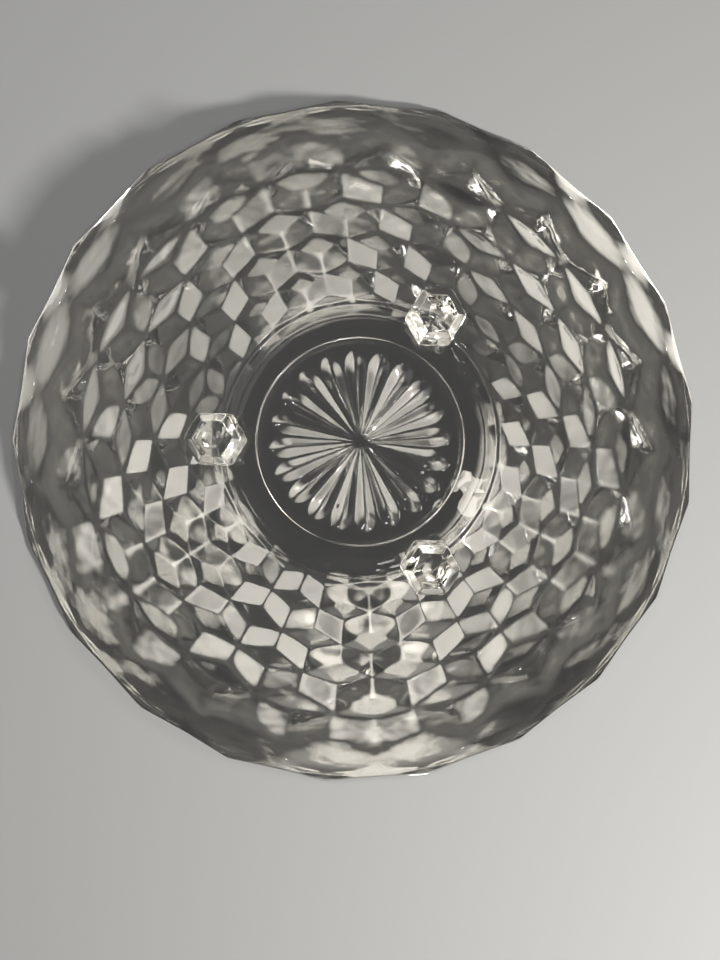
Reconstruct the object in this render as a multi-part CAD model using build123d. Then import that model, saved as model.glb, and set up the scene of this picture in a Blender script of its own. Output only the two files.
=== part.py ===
from build123d import *
import os
from math import cos, radians, sin

# A shallow flared bowl of clear pressed glass that stands on three hexagonal feet.
# It stands upright: +Z is up through the open mouth, and the origin is on the
# surface that the feet stand on, under the middle of the bowl.
# The glass is one pressing. Its nodes meet where the sections of the mould met:
# the cubed wall with its rim, the round base plate, and each foot.
# Lengths are in millimetres.

# --- driving dimensions -------------------------------------------------------

columns = 21                    # cubes in each row round the wall
rows = 5                        # rows of cubes from the base to the rim
first_column_angle = 180.0      # a column of the first row, above foot_1

# (radius, height) of the corners of the cubes, row by row from the base up.
# Peaks are the corners that stand out of the wall. Mid corners lie half a
# column to the side of their row's peaks, where neighbouring cubes touch.
first_mid_corner = (41.9, 11.0)
cube_peaks = [(48.2, 13.5), (58.9, 19.9), (71.3, 28.4), (86.4, 39.3), (107.0, 54.6)]
cube_mids = [(52.1, 17.1), (64.3, 25.4), (77.7, 35.4), (94.5, 48.0), (116.7, 63.7)]
first_pit_radius = 44.5         # lowest corners, between the cubes of row 1
last_pit_radius = 129.0         # top corners of the last row's diamonds

rim_height = 82.0
rim_edge_height = 2.0           # upright band below the rim's flat
rim_radius_at_columns = 133.6   # the rim is scalloped: out over each column
rim_radius_between = 131.4      # and in half a column to the side
lip_corner = (124.4, 71.0)      # start of the lip, between the last cubes

mouth_radius = 129.4            # inside edge of the rim
floor_height = 16.0             # inside, above the base plate
floor_radius = 40.0             # where the floor would meet the wall
floor_fillet = 16.0
wall_bow = 0.6                  # the inside wall is bowed out by this much

base_radius = 40.5
base_height = 10.0              # underside of the base plate
base_chamfer = 0.6
star_panel_radius = 30.5
star_panel_depth = 0.4

star_rays = 20
star_turn = -5.0                # angle of one ray
ray_start_radius = 1.4
ray_wide_radius = 20.5
ray_tip_radius = 26.8
ray_half_angle = 8.3
ray_depth = 1.7
ray_overrun = 1.0               # how far a ray's cutting shape starts below the panel

foot_circle_radius = 41.7
foot_angles = {"foot_1": 180.0, "foot_2": 60.0, "foot_3": -60.0}
foot_sides = 6
foot_end_radius = 5.7           # centre to corner of each hexagon
foot_bevel_radius = 8.2
foot_root_radius = 8.8
foot_bevel_height = 1.6
foot_top_height = 18.0          # above the glass that the foot runs into
dimple_radius = 2.8             # round hollow in the foot's end
dimple_depth = 0.6

clearance_above = 8.0           # how far cutting shapes run past the glass

half_column = 180.0 / columns


# --- outside of the wall ------------------------------------------------------

def corner(ring, half_step):
    """Put a (radius, height) pair at a number of half columns round the bowl."""
    angle = radians(first_column_angle + half_step * half_column)
    return (ring[0] * cos(angle), ring[0] * sin(angle), ring[1])


def line_to(start, end, radius):
    """Height, at a radius, of the line through two (radius, height) pairs."""
    slope = (end[1] - start[1]) / (end[0] - start[0])
    return start[1] + slope * (radius - start[0])


def chord_middle(ring):
    """Middle of the straight line between a ring's corners one column apart."""
    return (ring[0] * cos(radians(half_column)), ring[1])


def pit_ring(peak, mid, next_peak, next_mid):
    """Corner where a cube's diamond meets the next row, so that all stay flat."""
    centre = (0.0, line_to(next_peak, mid, 0.0))
    diamond_low = chord_middle(mid)
    diamond_slope = (diamond_low[1] - peak[1]) / (diamond_low[0] - peak[0])
    side_slope = (next_mid[1] - centre[1]) / next_mid[0]
    radius = (peak[1] - centre[1] - diamond_slope * peak[0]) / (side_slope - diamond_slope)
    return (radius, line_to(centre, next_mid, radius))


def cube_rings():
    """All rings of cube corners; index 0 is the edge beside the base plate."""
    peaks = [None] + cube_peaks
    mids = [first_mid_corner] + cube_mids
    centre = (0.0, line_to(peaks[1], mids[0], 0.0))
    pits = [(first_pit_radius, line_to(centre, mids[1], first_pit_radius))]
    for row in range(1, rows):
        pits.append(pit_ring(peaks[row], mids[row], peaks[row + 1], mids[row + 1]))
    last = line_to(peaks[rows], chord_middle(mids[rows]), last_pit_radius)
    pits.append((last_pit_radius, last))
    return peaks, mids, pits


def flat_face(corners):
    return Face(Wire.make_polygon([Vector(*point) for point in corners], close=True))


def cube_faces(peaks, mids, pits):
    """Three flat faces of each cube: one diamond and two sides."""
    faces = []
    for row in range(1, rows + 1):
        for column in range(columns):
            middle = 2 * column + (row + 1) % 2
            peak = corner(peaks[row], middle)
            below = corner(mids[row - 1], middle)
            diamond = [peak]
            diamond.append(corner(mids[row], middle + 1))
            diamond.append(corner(pits[row], middle))
            diamond.append(corner(mids[row], middle - 1))
            faces.append(flat_face(diamond))
            for side in (-1, 1):
                low = corner(pits[row - 1], middle + side)
                high = corner(mids[row], middle + side)
                faces.append(flat_face([peak, below, low, high]))
    return faces


def edge_faces(mids, pits):
    """Faces that close the cubes off at the base and at the rim."""
    lip_low = (rim_radius_at_columns, rim_height - rim_edge_height)
    lip_low_between = (rim_radius_between, rim_height - rim_edge_height)
    faces = []
    top = []
    bottom = []
    for column in range(columns):
        over = 2 * column
        between = over + 1
        ends = [corner(mids[0], over), corner(mids[0], over + 2)]
        bottom.append(ends[0])
        faces.append(flat_face([ends[0], corner(pits[0], between), ends[1]]))
        cube_top = corner(mids[rows], between)
        lip = corner(lip_corner, between)
        edge = corner(lip_low_between, between)
        edge_top = corner((rim_radius_between, rim_height), between)
        top.append(corner((rim_radius_at_columns, rim_height), over))
        top.append(edge_top)
        for side in (over, over + 2):
            pit = corner(pits[rows], side)
            side_edge = corner(lip_low, side)
            side_top = corner((rim_radius_at_columns, rim_height), side)
            faces.append(flat_face([cube_top, pit, lip]))
            faces.append(flat_face([lip, pit, edge]))
            faces.append(flat_face([pit, side_edge, edge]))
            faces.append(flat_face([edge, side_edge, side_top, edge_top]))
    faces.append(flat_face(top))
    faces.append(flat_face(bottom))
    return faces


def outer_form():
    """Solid with the cubed outside, before the inside is hollowed out."""
    peaks, mids, pits = cube_rings()
    return Solid(Shell(cube_faces(peaks, mids, pits) + edge_faces(mids, pits)))


# --- inside -------------------------------------------------------------------

def inside_form():
    """The space inside the bowl, carried on above the rim."""
    floor_end = (floor_radius, floor_height)
    mouth = (mouth_radius, rim_height)
    run = mouth_radius - floor_radius
    rise = rim_height - floor_height
    length = (run ** 2 + rise ** 2) ** 0.5
    middle_radius = floor_radius + run / 2 + wall_bow * rise / length
    middle_height = floor_height + rise / 2 - wall_bow * run / length
    above = (mouth_radius + clearance_above * run / rise, rim_height + clearance_above)
    outline = [
        Line((0, floor_height), floor_end),
        ThreePointArc(floor_end, (middle_radius, middle_height), mouth),
        Line(mouth, above),
        Line(above, (0, above[1])),
        Line((0, above[1]), (0, floor_height)),
    ]
    profile = make_face(outline)
    floor_corner = profile.vertices().sort_by_distance((*floor_end, 0))[0]
    profile = fillet(floor_corner, floor_fillet)
    return revolve(Plane.XZ * profile, Axis.Z)


# --- base plate ---------------------------------------------------------------

def base_disc():
    """Round plate under the floor, tall enough to reach into the inside."""
    height = floor_height + clearance_above - base_height
    disc = Pos(0, 0, base_height + height / 2) * Cylinder(base_radius, height)
    low_edge = disc.edges().filter_by(GeomType.CIRCLE).sort_by(Axis.Z)[0]
    return chamfer(low_edge, base_chamfer)


def star_ray(angle):
    """One pointed groove: a pyramid with a kite for its base, apex upwards."""
    panel_height = base_height + star_panel_depth
    deepest = Vector(ray_wide_radius, 0, panel_height + ray_depth)
    half_angle = radians(ray_half_angle)
    wide_x = ray_wide_radius * cos(half_angle)
    wide_y = ray_wide_radius * sin(half_angle)
    kite = [
        Vector(ray_start_radius, 0, panel_height),
        Vector(wide_x, wide_y, panel_height),
        Vector(ray_tip_radius, 0, panel_height),
        Vector(wide_x, -wide_y, panel_height),
    ]
    overrun = 1 + ray_overrun / ray_depth
    low = [deepest + (point - deepest) * overrun for point in kite]
    faces = [Face(Wire.make_polygon(low, close=True))]
    for index, point in enumerate(low):
        after = low[(index + 1) % len(low)]
        faces.append(Face(Wire.make_polygon([point, after, deepest], close=True)))
    return Rot(0, 0, angle) * Solid(Shell(faces))


def make_base_plate(disc, inside):
    panel_top = base_height + star_panel_depth
    panel = Pos(0, 0, panel_top / 2) * Cylinder(star_panel_radius, panel_top)
    plate = disc - inside - panel
    for ray in range(star_rays):
        plate = plate - star_ray(star_turn + ray * 360.0 / star_rays)
    return plate


# --- feet ---------------------------------------------------------------------

def hexagon(radius, height):
    return Pos(0, 0, height) * RegularPolygon(radius, foot_sides)


def make_foot(angle, glass_above):
    """A bevelled hexagonal block, cut off where it runs into the bowl."""
    bevel = loft([hexagon(foot_end_radius, 0), hexagon(foot_bevel_radius, foot_bevel_height)])
    sides = [hexagon(foot_bevel_radius, foot_bevel_height), hexagon(foot_root_radius, base_height)]
    root = extrude(hexagon(foot_root_radius, base_height), foot_top_height - base_height)
    block = bevel + loft(sides) + root
    ball_radius = (dimple_radius ** 2 + dimple_depth ** 2) / (2 * dimple_depth)
    dimple = Pos(0, 0, dimple_depth - ball_radius) * Sphere(ball_radius)
    foot = Rot(0, 0, angle) * Pos(foot_circle_radius, 0, 0) * (block - dimple)
    for piece in glass_above:
        foot = foot - piece
    return foot


# --- the bowl -----------------------------------------------------------------

def make_bowl():
    outside = outer_form()
    inside = inside_form()
    disc = base_disc()
    nodes = {}
    nodes["bowl_wall"] = outside - inside - disc
    nodes["base_plate"] = make_base_plate(disc, inside)
    for name, angle in foot_angles.items():
        nodes[name] = make_foot(angle, [outside, disc])
    return nodes


def main():
    os.makedirs("parts", exist_ok=True)
    for name, shape in make_bowl().items():
        solids = shape.solids()
        print(name, "solids", len(solids), "volume", round(shape.volume), "mm3")
        shape.label = name
        export_step(shape, f"parts/{name}.step")


main()
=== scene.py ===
from math import atan, cos, pi, radians, sin, sqrt

import bpy
from mathutils import Matrix, Vector


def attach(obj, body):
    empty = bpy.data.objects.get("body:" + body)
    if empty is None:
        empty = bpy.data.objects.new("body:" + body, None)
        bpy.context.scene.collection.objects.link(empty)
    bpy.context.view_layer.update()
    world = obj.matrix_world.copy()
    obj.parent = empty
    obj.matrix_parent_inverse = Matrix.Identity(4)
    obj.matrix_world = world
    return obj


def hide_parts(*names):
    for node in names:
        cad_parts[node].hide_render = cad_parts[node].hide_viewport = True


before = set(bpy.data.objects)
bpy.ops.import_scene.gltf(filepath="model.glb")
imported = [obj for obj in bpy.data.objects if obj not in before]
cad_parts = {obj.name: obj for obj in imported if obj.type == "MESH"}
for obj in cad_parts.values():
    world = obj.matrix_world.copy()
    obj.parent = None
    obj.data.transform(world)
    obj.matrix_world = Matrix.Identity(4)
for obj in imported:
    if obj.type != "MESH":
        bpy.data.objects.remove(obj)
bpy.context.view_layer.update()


# --- cubed wall, outside ------------------------------------------------------
# The flared wall and rim, of clear pressed glass. The mould gives it five rows
# of cubes, crisp near the base. Fire polishing, which melts the rim smooth, also
# softens the rows near it.

mm = 0.001
columns = 21
rows = 5
first_column_angle = 180.0
half_column = 180.0 / columns

# (radius, height) of each ring of corners, in millimetres, from the base up
first_mid_corner = (41.9, 11.0)
cube_peaks = [(48.2, 13.5), (58.9, 19.9), (71.3, 28.4), (86.4, 39.3), (107.0, 54.6)]
cube_mids = [(52.1, 17.1), (64.3, 25.4), (77.7, 35.4), (94.5, 48.0), (116.7, 63.7)]
first_pit_radius = 44.5
last_pit_radius = 129.0
lip_corner = (124.4, 71.0)
rim_height = 82.0
rim_edge_height = 2.0
rim_radius_at_columns = 133.6
rim_radius_between = 131.4

row_softness = [0.18, 0.22, 0.28, 0.4, 1.1, 2.2]   # corner rounding, base to rim
lip_softness = 2.0
rim_softness = 0.55             # at 0.8 the joins fail, with no error
edge_softness = 0.9             # lower edge of the rim; at 1.1 they fail too
flat_inset = 2.4                # the flat of a face starts at this many roundings
smooth_levels = 2


def corner(ring, half_step):
    """Put a (radius, height) pair at a number of half columns round the bowl."""
    angle = radians(first_column_angle + half_step * half_column)
    return Vector((ring[0] * cos(angle), ring[0] * sin(angle), ring[1]))


def line_to(start, end, radius):
    """Height, at a radius, of the line through two (radius, height) pairs."""
    slope = (end[1] - start[1]) / (end[0] - start[0])
    return start[1] + slope * (radius - start[0])


def chord_middle(ring):
    """Middle of the straight line between a ring's corners one column apart."""
    return (ring[0] * cos(radians(half_column)), ring[1])


def pit_ring(peak, mid, next_peak, next_mid):
    """Corner where a cube's diamond meets the next row, so that all stay flat."""
    centre = (0.0, line_to(next_peak, mid, 0.0))
    diamond_low = chord_middle(mid)
    diamond_slope = (diamond_low[1] - peak[1]) / (diamond_low[0] - peak[0])
    side_slope = (next_mid[1] - centre[1]) / next_mid[0]
    radius = (peak[1] - centre[1] - diamond_slope * peak[0]) / (side_slope - diamond_slope)
    return (radius, line_to(centre, next_mid, radius))


def softened(name, corners, faces, softness):
    """Mesh object with a closed cage's edges rounded, each corner by its own amount."""
    points = []
    polygons = []
    inner_corner = {}
    for face_number, face in enumerate(faces):
        flat = []
        for index, here in enumerate(face):
            before = (corners[face[index - 1]] - corners[here]).normalized()
            after = (corners[face[(index + 1) % len(face)]] - corners[here]).normalized()
            inward = (before + after) / before.cross(after).length
            inner_corner[face_number, index] = len(points)
            points.append(corners[here] + inward * softness[here])
            flat.append(len(points))
            points.append(corners[here] + inward * softness[here] * flat_inset)
        polygons.append(flat)
        for index in range(len(face)):
            after = (index + 1) % len(face)
            edge = [inner_corner[face_number, index], inner_corner[face_number, after]]
            polygons.append([*edge, flat[after], flat[index]])

    edge_owner = {}
    for face_number, face in enumerate(faces):
        for index, here in enumerate(face):
            edge_owner[here, face[(index + 1) % len(face)]] = (face_number, index)
    round_corner = {}
    for (start, end), (face_number, index) in edge_owner.items():
        other_number, other_index = edge_owner[end, start]
        after = (index + 1) % len(faces[face_number])
        other_after = (other_index + 1) % len(faces[other_number])
        round_corner[face_number, after] = (other_number, other_index)
        if start < end:
            polygons.append([
                inner_corner[face_number, after],
                inner_corner[face_number, index],
                inner_corner[other_number, other_after],
                inner_corner[other_number, other_index],
            ])
    while round_corner:
        spot = next(iter(round_corner))
        around = []
        while spot in round_corner:
            around.append(inner_corner[spot])
            spot = round_corner.pop(spot)
        polygons.append(around)

    mesh = bpy.data.meshes.new(name)
    mesh.from_pydata([point * mm for point in points], [], polygons)
    form = bpy.data.objects.new(name, mesh)
    bpy.context.scene.collection.objects.link(form)
    smooth = form.modifiers.new("rounding", "SUBSURF")
    smooth.levels = smooth_levels
    smooth.render_levels = smooth_levels
    return form


def wall_cage():
    """Corners, faces and corner softness of the whole outside of the wall."""
    corners = []
    softness = []
    number = {}

    def ring_corner(kind, row, half_step):
        return number[kind, row, half_step % (2 * columns)]

    def add_ring(kind, row, ring, parity, soft):
        for half_step in range(parity, 2 * columns, 2):
            number[kind, row, half_step] = len(corners)
            corners.append(corner(ring, half_step))
            softness.append(soft)

    peaks = [None] + cube_peaks
    mids = [first_mid_corner] + cube_mids
    centre = (0.0, line_to(peaks[1], mids[0], 0.0))
    pits = [(first_pit_radius, line_to(centre, mids[1], first_pit_radius))]
    for row in range(1, rows):
        pits.append(pit_ring(peaks[row], mids[row], peaks[row + 1], mids[row + 1]))
    last = line_to(peaks[rows], chord_middle(mids[rows]), last_pit_radius)
    pits.append((last_pit_radius, last))

    for row in range(rows + 1):
        phase = (row + 1) % 2
        add_ring("mid", row, mids[row], 1 - phase, row_softness[row])
        add_ring("pit", row, pits[row], phase, row_softness[row])
        if row:
            add_ring("peak", row, peaks[row], phase, row_softness[row])
    edge_height = rim_height - rim_edge_height
    add_ring("lip", 0, lip_corner, 1, lip_softness)
    for parity, radius in enumerate((rim_radius_at_columns, rim_radius_between)):
        add_ring("edge", 0, (radius, edge_height), parity, edge_softness)
        add_ring("top", 0, (radius, rim_height), parity, rim_softness)

    faces = []
    for row in range(1, rows + 1):
        for column in range(columns):
            middle = 2 * column + (row + 1) % 2
            peak = ring_corner("peak", row, middle)
            below = ring_corner("mid", row - 1, middle)
            left, right = (ring_corner("mid", row, middle + side) for side in (-1, 1))
            low_left, low_right = (ring_corner("pit", row - 1, middle + side) for side in (-1, 1))
            faces.append([peak, right, ring_corner("pit", row, middle), left])
            faces.append([peak, below, low_right, right])
            faces.append([peak, left, low_left, below])
    for column in range(columns):
        over = 2 * column
        between = over + 1
        cube_top = ring_corner("mid", rows, between)
        lip = ring_corner("lip", 0, between)
        pit = ring_corner("pit", rows, over)
        next_pit = ring_corner("pit", rows, over + 2)
        edge, edge_between, next_edge = (
            ring_corner("edge", 0, half_step) for half_step in (over, between, over + 2))
        top, top_between, next_top = (
            ring_corner("top", 0, half_step) for half_step in (over, between, over + 2))
        faces.append([cube_top, lip, pit])
        faces.append([cube_top, next_pit, lip])
        faces.append([lip, edge_between, edge, pit])
        faces.append([lip, next_pit, next_edge, edge_between])
        faces.append([edge, edge_between, top_between, top])
        faces.append([edge_between, next_edge, next_top, top_between])
        low = ring_corner("mid", 0, over)
        next_low = ring_corner("mid", 0, over + 2)
        faces.append([low, next_low, ring_corner("pit", 0, between)])
    faces.append([ring_corner("top", 0, half_step) for half_step in range(2 * columns)])
    faces.append([ring_corner("mid", 0, -half_step) for half_step in range(0, 2 * columns, 2)])
    return corners, faces, softness


wall = softened("wall_form", *wall_cage())


# --- inside of the bowl -------------------------------------------------------
# The plain inside, pressed by the plunger: a flat floor, a round corner and a
# wall that bows out a little, up to the rounded inner edge of the rim.

mouth_radius = 129.4
floor_height = 16.0
floor_radius = 40.0
floor_fillet = 16.0
wall_bow = 0.6
inner_edge_round = 1.0
round_segments = 252
fillet_steps = 8
wall_steps = 16
clearance_above = 8.0


def turned(name, outline, segments):
    """Closed mesh object turned from a line of (radius, height) points, axis to axis."""
    middle = outline[1:-1]
    points = [Vector((0, 0, outline[0][1])), Vector((0, 0, outline[-1][1]))]
    for radius, height in middle:
        for segment in range(segments):
            angle = 2 * pi * segment / segments
            points.append(Vector((radius * cos(angle), radius * sin(angle), height)))
    polygons = []
    for segment in range(segments):
        after = (segment + 1) % segments
        for ring in range(len(middle) - 1):
            low = 2 + ring * segments
            high = low + segments
            polygons.append([low + segment, low + after, high + after, high + segment])
        last = 2 + (len(middle) - 1) * segments
        polygons.append([0, 2 + after, 2 + segment])
        polygons.append([1, last + segment, last + after])
    mesh = bpy.data.meshes.new(name)
    mesh.from_pydata([point * mm for point in points], [], polygons)
    form = bpy.data.objects.new(name, mesh)
    bpy.context.scene.collection.objects.link(form)
    return form


def arc(centre, radius, start, end, steps):
    """(radius, height) points along an arc, its angles in degrees."""
    points = []
    for step in range(steps + 1):
        angle = radians(start + (end - start) * step / steps)
        points.append((centre[0] + radius * cos(angle), centre[1] + radius * sin(angle)))
    return points


def plunger_outline():
    """Profile of the inside, carried on above the rim."""
    run = mouth_radius - floor_radius
    rise = rim_height - floor_height
    slope = atan(rise / run)
    tangent = floor_fillet * (1 - cos(slope)) / sin(slope)
    fillet_centre = (floor_radius - tangent, floor_height + floor_fillet)
    slope_degrees = slope * 180.0 / pi
    outline = [(0, floor_height)]
    outline += arc(fillet_centre, floor_fillet, -90.0, -90.0 + slope_degrees, fillet_steps)
    start = outline[-1]
    edge_start = (mouth_radius - inner_edge_round * cos(slope), rim_height - inner_edge_round * sin(slope))
    for step in range(1, wall_steps + 1):
        part = step / wall_steps
        bow = 4 * part * (1 - part) * wall_bow
        outline.append((
            start[0] + (edge_start[0] - start[0]) * part + bow * sin(slope),
            start[1] + (edge_start[1] - start[1]) * part - bow * cos(slope),
        ))
    round_end = (mouth_radius + inner_edge_round, rim_height)
    for part in (0.25, 0.5, 0.75, 1.0):
        outline.append((
            (1 - part) ** 2 * edge_start[0] + 2 * part * (1 - part) * mouth_radius + part ** 2 * round_end[0],
            (1 - part) ** 2 * edge_start[1] + (1 - (1 - part) ** 2) * rim_height,
        ))
    outline.append((round_end[0], rim_height + clearance_above))
    outline.append((0, rim_height + clearance_above))
    return outline


plunger = turned("plunger_form", plunger_outline(), round_segments)


# --- base plate ---------------------------------------------------------------
# The round plate under the floor, with a fine ring at its edge and a shallow
# round panel. Twenty pointed grooves in the panel make the pressed star.

base_radius = 40.5
base_height = 10.0
base_round = 0.8
base_form_top = floor_height - 2.0
edge_steps = 5
star_panel_radius = 30.5
star_panel_depth = 0.4
panel_round = 0.4

star_rays = 20
star_turn = -5.0
ray_start_radius = 1.4
ray_wide_radius = 20.5
ray_tip_radius = 26.8
ray_half_angle = 8.3
ray_depth = 1.75
ray_across = 16                 # mesh steps across one ray
ray_along = 44
ray_edge_round = 0.16           # rounding of the groove's bottom, as part of its width
least_ray_angle = 0.01
stamp_overrun = 1.0             # how far the stamp goes past the rays and the base

panel_height = base_height + star_panel_depth
panel_edge_centre = (star_panel_radius + panel_round, base_height + panel_round)
base = turned("base_form", [
    (0, panel_height),
    *arc((star_panel_radius - panel_round, base_height), panel_round, 90.0, 0.0, edge_steps),
    *arc(panel_edge_centre, panel_round, -170.0, -90.0, edge_steps),
    *arc((base_radius - base_round, base_height + base_round), base_round, -90.0, 0.0, edge_steps),
    (base_radius, base_form_top),
    (0, base_form_top),
], round_segments)


def groove_depth(radius, part):
    """Depth of a ray's groove; part is 0 on its middle line and 1 on its edge."""
    if radius < ray_wide_radius:
        along = (radius - ray_start_radius) / (ray_wide_radius - ray_start_radius)
        width = ray_half_angle
    else:
        reach = (radius - ray_wide_radius) / (ray_tip_radius - ray_wide_radius)
        along = 1 - reach ** 2
        width = ray_half_angle * sqrt(max(along, 0.0))
    if along <= 0:
        return 0.0
    across = part * (180.0 / star_rays) / max(width, least_ray_angle)
    ridge = sqrt(across ** 2 + ray_edge_round ** 2) - ray_edge_round
    edge = sqrt(1 + ray_edge_round ** 2) - ray_edge_round
    return ray_depth * along * max(0.0, 1 - ridge / edge)


def star_stamp():
    """Closed mesh of the star's rays, from below the panel up into the plate."""
    below = base_height - stamp_overrun
    around = star_rays * ray_across
    points = [Vector((0, 0, panel_height)), Vector((0, 0, below))]
    for ring in range(1, ray_along + 1):
        radius = (ray_tip_radius + stamp_overrun) * ring / ray_along
        for step in range(around):
            angle = radians(star_turn) + 2 * pi * step / around
            part = abs((step + ray_across / 2) % ray_across - ray_across / 2) / (ray_across / 2)
            height = panel_height + groove_depth(radius, part)
            points.append(Vector((radius * cos(angle), radius * sin(angle), height)))
    rim_start = len(points) - around
    floor_start = len(points)
    for point in points[rim_start:]:
        points.append(Vector((point.x, point.y, below)))
    polygons = []
    for step in range(around):
        after = (step + 1) % around
        polygons.append([0, 2 + step, 2 + after])
        for ring in range(ray_along - 1):
            low = 2 + ring * around
            high = low + around
            polygons.append([low + step, high + step, high + after, low + after])
        polygons.append([rim_start + step, floor_start + step, floor_start + after, rim_start + after])
        polygons.append([1, floor_start + after, floor_start + step])
    mesh = bpy.data.meshes.new("star_form")
    mesh.from_pydata([point * mm for point in points], [], polygons)
    form = bpy.data.objects.new("star_form", mesh)
    bpy.context.scene.collection.objects.link(form)
    return form


star = star_stamp()


# --- feet ---------------------------------------------------------------------
# Three hexagonal feet, pressed with the bowl, that run into it across the base
# ring. Each end is bevelled and has a shallow round dimple.

foot_circle_radius = 41.7
foot_angles = {"foot_1": 180.0, "foot_2": 60.0, "foot_3": -60.0}
foot_sides = 6
foot_end_radius = 5.7
foot_bevel_radius = 8.2
foot_root_radius = 8.8
foot_bevel_height = 1.6
foot_top_inner = 13.6           # height of the hidden top, which leans with the wall
foot_top_outer = 17.8
foot_softness = 0.16
dimple_radius = 2.8
dimple_depth = 0.6
dimple_steps = 8
dimple_segments = 48
dimple_overrun = 1.0            # how far the dimple's tool starts below the foot


def make_foot(name, angle):
    """Bevelled hexagonal block, its top hidden inside the glass of the bowl."""
    turn = radians(angle)
    middle = Vector((foot_circle_radius * cos(turn), foot_circle_radius * sin(turn), 0))
    sections = [
        (foot_end_radius, 0.0),
        (foot_bevel_radius, foot_bevel_height),
        (foot_root_radius, base_height),
        (foot_root_radius, None),
    ]
    corners = []
    for radius, height in sections:
        for side in range(foot_sides):
            side_angle = side * 2 * pi / foot_sides
            outward = radius * cos(side_angle)
            point_angle = turn + side_angle
            lean = (outward + foot_root_radius) / (2 * foot_root_radius)
            top = foot_top_inner + (foot_top_outer - foot_top_inner) * lean
            rise = top if height is None else height
            reach = Vector((radius * cos(point_angle), radius * sin(point_angle), rise))
            corners.append(middle + reach)
    top_start = len(corners) - foot_sides
    faces = [list(range(foot_sides - 1, -1, -1)), list(range(top_start, len(corners)))]
    for low in range(0, top_start, foot_sides):
        high = low + foot_sides
        for side in range(foot_sides):
            after = (side + 1) % foot_sides
            faces.append([low + side, low + after, high + after, high + side])
    return softened(name + "_form", corners, faces, [foot_softness] * len(corners))


def make_dimple(name, angle):
    """Shallow round hollow in the foot's end."""
    ball_radius = (dimple_radius ** 2 + dimple_depth ** 2) / (2 * dimple_depth)
    outline = [(0, -dimple_overrun), (dimple_radius, -dimple_overrun)]
    for step in range(dimple_steps):
        radius = dimple_radius * (1 - step / dimple_steps)
        outline.append((radius, dimple_depth - ball_radius + sqrt(ball_radius ** 2 - radius ** 2)))
    outline.append((0, dimple_depth))
    dimple = turned(name + "_dimple", outline, dimple_segments)
    turn = radians(angle)
    dimple.location = Vector((foot_circle_radius * cos(turn), foot_circle_radius * sin(turn), 0)) * mm
    return dimple


feet = [make_foot(name, angle) for name, angle in foot_angles.items()]
dimples = [make_dimple(name, angle) for name, angle in foot_angles.items()]


# --- the pressed bowl ---------------------------------------------------------
# The mould's sections are one pour of glass, so they are joined into one closed
# piece with no seams inside it: a wall there would show through clear glass.

sharp_angle = 38.0
glass_tint = (0.97, 0.965, 0.94, 1.0)
glass_index = 1.52
haze_scale = 45.0
haze_range = (0.45, 0.75)       # of the noise that gives the haze
haze_most = 0.015
ripple_scale = 110.0
ripple_strength = 0.45
ripple_depth = 0.0006
shadow_least = 0.9              # how much light each part of the glass holds back
shadow_most = 0.95
shadow_from = 0.1
shadow_to = 0.42


def press(form, tool, operation):
    """Join a form to the bowl, or press a tool's shape out of it."""
    cut = form.modifiers.new(tool.name, "BOOLEAN")
    cut.operation = operation
    cut.solver = "EXACT"
    cut.object = tool


def fixed_mesh(form, name):
    """The form's mesh with its modifiers worked out."""
    bpy.context.view_layer.update()
    evaluated = form.evaluated_get(bpy.context.evaluated_depsgraph_get())
    mesh = bpy.data.meshes.new_from_object(evaluated)
    mesh.name = name
    return mesh


press(wall, base, "UNION")
for foot, dimple in zip(feet, dimples):
    press(foot, dimple, "DIFFERENCE")
    press(wall, foot, "UNION")
press(wall, plunger, "DIFFERENCE")
press(wall, star, "DIFFERENCE")
bowl = bpy.data.objects.new("pressed_bowl", fixed_mesh(wall, "pressed_bowl"))
bpy.context.scene.collection.objects.link(bowl)
for form in [wall, plunger, base, star, *feet, *dimples]:
    bpy.data.objects.remove(form)

bowl.data.shade_smooth()
bowl.data.set_sharp_from_angle(angle=radians(sharp_angle))
weighted = bowl.modifiers.new("even_shading", "WEIGHTED_NORMAL")
weighted.keep_sharp = True


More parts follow.
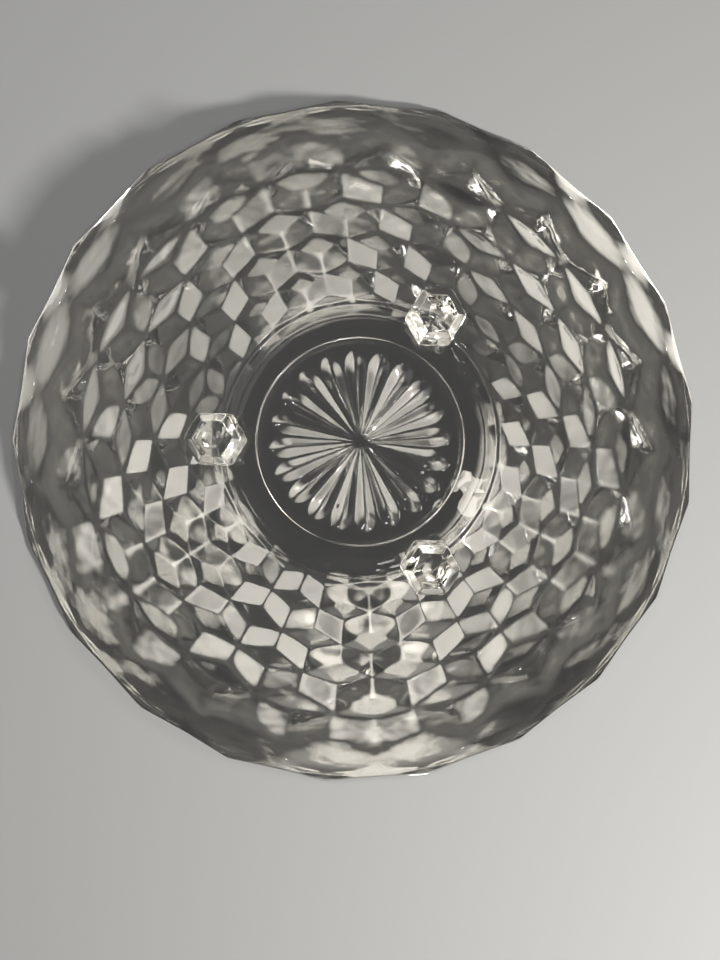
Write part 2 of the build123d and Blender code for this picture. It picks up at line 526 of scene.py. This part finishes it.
def clear_glass():
    """Fire-polished clear glass: smooth, with a faint ripple and slight haze."""
    material = bpy.data.materials.new("clear_pressed_glass")
    material.use_nodes = True
    tree = material.node_tree
    glass = tree.nodes["Principled BSDF"]
    glass.inputs["Base Color"].default_value = glass_tint
    glass.inputs["Transmission Weight"].default_value = 1.0
    glass.inputs["IOR"].default_value = glass_index
    place = tree.nodes.new("ShaderNodeTexCoord")
    haze = tree.nodes.new("ShaderNodeTexNoise")
    haze.inputs["Scale"].default_value = haze_scale
    haze.inputs["Detail"].default_value = 3.0
    tree.links.new(place.outputs["Object"], haze.inputs["Vector"])
    hazy = tree.nodes.new("ShaderNodeMapRange")
    hazy.inputs["From Min"].default_value = haze_range[0]
    hazy.inputs["From Max"].default_value = haze_range[1]
    hazy.inputs["To Min"].default_value = 0.0
    hazy.inputs["To Max"].default_value = haze_most
    tree.links.new(haze.outputs["Fac"], hazy.inputs["Value"])
    tree.links.new(hazy.outputs["Result"], glass.inputs["Roughness"])
    ripple = tree.nodes.new("ShaderNodeTexNoise")
    ripple.inputs["Scale"].default_value = ripple_scale
    ripple.inputs["Detail"].default_value = 1.0
    tree.links.new(place.outputs["Object"], ripple.inputs["Vector"])
    bump = tree.nodes.new("ShaderNodeBump")
    bump.inputs["Strength"].default_value = ripple_strength
    bump.inputs["Distance"].default_value = ripple_depth
    tree.links.new(ripple.outputs["Fac"], bump.inputs["Height"])
    tree.links.new(bump.outputs["Normal"], glass.inputs["Normal"])
    path = tree.nodes.new("ShaderNodeLightPath")
    slant = tree.nodes.new("ShaderNodeLayerWeight")
    slant.inputs["Blend"].default_value = 0.5
    cast = tree.nodes.new("ShaderNodeMapRange")
    cast.interpolation_type = "SMOOTHSTEP"
    cast.inputs["From Min"].default_value = shadow_from
    cast.inputs["From Max"].default_value = shadow_to
    cast.inputs["To Min"].default_value = shadow_least
    cast.inputs["To Max"].default_value = shadow_most
    tree.links.new(slant.outputs["Facing"], cast.inputs["Value"])
    shadow = tree.nodes.new("ShaderNodeMapRange")
    shadow.inputs["To Min"].default_value = 1.0
    tree.links.new(cast.outputs["Result"], shadow.inputs["To Max"])
    tree.links.new(path.outputs["Is Shadow Ray"], shadow.inputs["Value"])
    tree.links.new(shadow.outputs["Result"], glass.inputs["Alpha"])
    return material


bowl.data.materials.clear()
bowl.data.materials.append(clear_glass())
bowl.visible_diffuse = False
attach(bowl, "root")
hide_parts("bowl_wall", "base_plate", "foot_1", "foot_2", "foot_3")


# --- camera -------------------------------------------------------------------
# It looks up at the underside of the bowl from close by, with a wide lens, as
# at a bowl that lies rim down on a table.

lens_length = 27.0
sensor_width = 36.0
camera_place = Vector((-4.2, 4.6, -201.15))
camera_forward = Vector((0.0202, 0.0309, 0.9993))
camera_up = Vector((-0.0174, -0.9994, 0.0305))

camera_data = bpy.data.cameras.new("camera")
camera_data.lens = lens_length
camera_data.sensor_width = sensor_width
camera = bpy.data.objects.new("camera", camera_data)
bpy.context.scene.collection.objects.link(camera)
backward = -camera_forward.normalized()
sideways = camera_up.cross(backward).normalized()
upward = backward.cross(sideways)
camera.location = camera_place * mm
camera.rotation_mode = "QUATERNION"
turn_matrix = Matrix((sideways, upward, backward)).transposed()
camera.rotation_quaternion = turn_matrix.to_quaternion()
bpy.context.scene.camera = camera


# --- table sheet and floor ----------------------------------------------------
# Pale matt sheets: a floor for the bowl to stand on, and a table for it to lie
# rim down on. Each shows on its own side only, and the table also fades out
# where it is seen edge on, so neither sheet hides the bowl.

stage_grey = (0.62, 0.62, 0.61, 1.0)
floor_half_width = 12.0         # metres, as all sizes of the stage are
table_half_width = 0.35
table_gap = 0.0003              # between the rim and the table
fade_start = 0.45               # of Facing, which is 1 edge on
fade_end = 0.65


def stage_material(fades_edge_on):
    """Pale matt paint that shows on its front only, and not after a reflection."""
    material = bpy.data.materials.new("pale_stage")
    material.use_nodes = True
    tree = material.node_tree
    paint = tree.nodes["Principled BSDF"]
    paint.inputs["Base Color"].default_value = stage_grey
    paint.inputs["Roughness"].default_value = 1.0
    paint.inputs["Specular IOR Level"].default_value = 0.0
    see_through = tree.nodes.new("ShaderNodeBsdfTransparent")
    mix = tree.nodes.new("ShaderNodeMixShader")
    side = tree.nodes.new("ShaderNodeNewGeometry")
    path = tree.nodes.new("ShaderNodeLightPath")
    reflected = tree.nodes.new("ShaderNodeMath")
    reflected.operation = "GREATER_THAN"
    reflected.inputs[1].default_value = 0.5
    hidden = tree.nodes.new("ShaderNodeMath")
    hidden.operation = "MAXIMUM"
    tree.links.new(path.outputs["Glossy Depth"], reflected.inputs[0])
    tree.links.new(side.outputs["Backfacing"], hidden.inputs[0])
    tree.links.new(reflected.outputs[0], hidden.inputs[1])
    if fades_edge_on:
        slant = tree.nodes.new("ShaderNodeLayerWeight")
        fade = tree.nodes.new("ShaderNodeMapRange")
        fade.inputs["From Min"].default_value = fade_start
        fade.inputs["From Max"].default_value = fade_end
        flat = tree.nodes.new("ShaderNodeMath")
        flat.operation = "MAXIMUM"
        tree.links.new(slant.outputs["Facing"], fade.inputs["Value"])
        tree.links.new(fade.outputs["Result"], flat.inputs[0])
        tree.links.new(hidden.outputs[0], flat.inputs[1])
        hidden = flat
    tree.links.new(hidden.outputs[0], mix.inputs["Fac"])
    tree.links.new(paint.outputs[0], mix.inputs[1])
    tree.links.new(see_through.outputs[0], mix.inputs[2])
    tree.links.new(mix.outputs[0], tree.nodes["Material Output"].inputs["Surface"])
    return material


def stage_sheet(name, height, half_width, faces_up, material):
    """Square sheet that lights no glass and casts no shadow."""
    corners = [(-1, -1), (1, -1), (1, 1), (-1, 1)]
    if not faces_up:
        corners.reverse()
    points = [(x * half_width, y * half_width, height) for x, y in corners]
    mesh = bpy.data.meshes.new(name)
    mesh.from_pydata(points, [], [(0, 1, 2, 3)])
    sheet = bpy.data.objects.new(name, mesh)
    bpy.context.scene.collection.objects.link(sheet)
    mesh.materials.append(material)
    sheet.visible_shadow = False
    sheet.visible_glossy = False
    sheet.visible_diffuse = False


stage_sheet("floor", 0.0, floor_half_width, True, stage_material(False))
stage_sheet("table", rim_height * mm + table_gap, table_half_width, False, stage_material(True))


# --- lamps --------------------------------------------------------------------
# Soft lamps in pairs, a key and a fill below for the table and above for the
# floor, and small ones whose reflections glint in the glass.

lamp_target = (0.0, 0.0, 0.05)
white = (1.0, 1.0, 1.0)
glint_size = 0.045
glint_power = 0.4
glint_places = [
    (0.12, 0.38, -0.55), (-0.3, -0.33, -0.5), (0.3, -0.3, -0.4),
    (0.35, -0.2, 0.6), (-0.35, -0.35, 0.55), (0.1, 0.45, 0.5),
]


def soft_lamp(name, place, size, power, shade=white):
    """Square lamp turned towards the bowl: size in metres, power in watts."""
    data = bpy.data.lights.new(name, "AREA")
    data.size = size
    data.energy = power
    data.color = shade
    lamp = bpy.data.objects.new(name, data)
    lamp.location = place
    direction = Vector(lamp_target) - Vector(place)
    lamp.rotation_mode = "QUATERNION"
    lamp.rotation_quaternion = direction.to_track_quat("-Z", "Y")
    bpy.context.scene.collection.objects.link(lamp)
    lamp.visible_camera = False


soft_lamp("table_key", (0.5, 0.38, -0.4), 0.05, 4.6, (1.0, 0.985, 0.95))
soft_lamp("table_fill", (-0.5, -0.2, -0.6), 0.5, 0.6)
soft_lamp("floor_key", (0.45, -0.35, 0.75), 0.2, 2.2, (1.0, 0.985, 0.96))
soft_lamp("table_glare", (0.115, 0.04, -0.45), 0.03, 0.03, (1.0, 0.95, 0.85))
for number, place in enumerate(glint_places):
    soft_lamp(f"glint_{number + 1}", place, glint_size, glint_power)
soft_lamp("floor_fill", (-0.6, -0.4, 0.7), 0.5, 0.5)


# --- room and backdrop --------------------------------------------------------
# The eye sees a plain pale backdrop. The glass reflects and bends a dim room
# with soft bright cards in it, and the sheets get an even light of their own.

backdrop_grey = (0.465, 0.465, 0.457)
room_warmth = (1.05, 1.0, 0.89)
horizon_glow = 0.3
horizon_edge = 0.32             # height at which the glow ends, of 1 overhead
horizon_middle = 0.05
clutter_scale = 2.5             # soft patches of the room's own brightness
clutter_detail = 2.0
clutter_range = (0.45, 0.75)
clutter_light = (0.02, 0.35)
floor_ambient = 0.75            # even light from above, for the floor
table_ambient = 0.035           # and from below, for the table
ambient_edge = (85, 95)         # degrees from straight up, where one becomes the other
# direction, degrees to the end of the full light, degrees to the edge, brightness
room_cards = [
    ((0.85, 0.35, -0.75), 4, 36, 11.0),
    ((-0.25, -0.9, -0.6), 4, 32, 8.0),
    ((-0.8, 0.5, -0.45), 3, 24, 10.0),
    ((0.1, 0.95, -0.35), 3, 20, 10.0),
    ((0.7, -0.5, 0.7), 14, 26, 3.0),
    ((-0.8, -0.3, 0.6), 12, 26, 1.5),
    ((0.1, 0.9, 0.5), 10, 24, 1.2),
]
mix_first = 6                   # colour sockets of a Mix node, which share their names
mix_second = 7
mix_result = 2


def studio_world():
    """World that each kind of ray sees its own part of."""
    world = bpy.data.worlds.new("studio")
    bpy.context.scene.world = world
    world.cycles.sampling_method = "NONE"   # sampled light would reach the sheets too
    world.use_nodes = True
    tree = world.node_tree
    nodes = tree.nodes
    links = tree.links
    background = nodes["Background"]
    place = nodes.new("ShaderNodeTexCoord")

    def card(direction, inner, outer, brightness):
        dot = nodes.new("ShaderNodeVectorMath")
        dot.operation = "DOT_PRODUCT"
        dot.inputs[1].default_value = Vector(direction).normalized()
        links.new(place.outputs["Generated"], dot.inputs[0])
        shape = nodes.new("ShaderNodeMapRange")
        shape.interpolation_type = "SMOOTHSTEP"
        shape.inputs["From Min"].default_value = cos(radians(outer))
        shape.inputs["From Max"].default_value = cos(radians(inner))
        shape.inputs["To Max"].default_value = brightness
        links.new(dot.outputs["Value"], shape.inputs["Value"])
        return shape.outputs["Result"]

    def combine(first, second, operation):
        node = nodes.new("ShaderNodeMath")
        node.operation = operation
        for socket, value in zip(node.inputs, (first, second)):
            if isinstance(value, (int, float)):
                socket.default_value = value
            else:
                links.new(value, socket)
        return node.outputs[0]

    split = nodes.new("ShaderNodeSeparateXYZ")
    links.new(place.outputs["Generated"], split.inputs[0])
    band = nodes.new("ShaderNodeMapRange")
    band.interpolation_type = "SMOOTHSTEP"
    band.inputs["From Min"].default_value = horizon_edge
    band.inputs["From Max"].default_value = horizon_middle
    band.inputs["To Max"].default_value = horizon_glow
    links.new(combine(split.outputs["Z"], 0.0, "ABSOLUTE"), band.inputs["Value"])
    clutter = nodes.new("ShaderNodeTexNoise")
    clutter.inputs["Scale"].default_value = clutter_scale
    clutter.inputs["Detail"].default_value = clutter_detail
    links.new(place.outputs["Generated"], clutter.inputs["Vector"])
    uneven = nodes.new("ShaderNodeMapRange")
    uneven.inputs["From Min"].default_value = clutter_range[0]
    uneven.inputs["From Max"].default_value = clutter_range[1]
    uneven.inputs["To Min"].default_value = clutter_light[0]
    uneven.inputs["To Max"].default_value = clutter_light[1]
    links.new(clutter.outputs["Fac"], uneven.inputs["Value"])
    room = combine(uneven.outputs["Result"], band.outputs["Result"], "ADD")
    for direction, inner, outer, brightness in room_cards:
        room = combine(room, card(direction, inner, outer, brightness), "ADD")
    path = nodes.new("ShaderNodeLightPath")
    ambient = card((0, 0, 1), *ambient_edge, floor_ambient - table_ambient)
    ambient = combine(ambient, table_ambient, "ADD")
    diffuse = combine(path.outputs["Is Diffuse Ray"], ambient, "MULTIPLY")
    not_diffuse = combine(1.0, path.outputs["Is Diffuse Ray"], "SUBTRACT")
    room = combine(room, not_diffuse, "MULTIPLY")
    warm = nodes.new("ShaderNodeVectorMath")
    warm.operation = "SCALE"
    warm.inputs[0].default_value = room_warmth
    links.new(room, warm.inputs["Scale"])
    seen = nodes.new("ShaderNodeVectorMath")
    seen.operation = "ADD"
    links.new(warm.outputs[0], seen.inputs[0])
    links.new(diffuse, seen.inputs[1])
    shade = nodes.new("ShaderNodeMix")
    shade.data_type = "RGBA"
    links.new(path.outputs["Is Camera Ray"], shade.inputs["Factor"])
    links.new(seen.outputs[0], shade.inputs[mix_first])
    shade.inputs[mix_second].default_value = (*backdrop_grey, 1.0)
    links.new(shade.outputs[mix_result], background.inputs["Color"])


studio_world()


# --- light paths and sizes ----------------------------------------------------
# Light takes many turns inside the cubes, so it gets many bounces. Light that
# the glass would bend onto the sheets is off, and the shadow setting stands for it.

scene = bpy.context.scene
scene.cycles.caustics_reflective = False
scene.cycles.caustics_refractive = False
scene.cycles.max_bounces = 14
scene.cycles.transmission_bounces = 14
scene.cycles.glossy_bounces = 8
scene.cycles.transparent_max_bounces = 12
scene.view_settings.view_transform = "Standard"
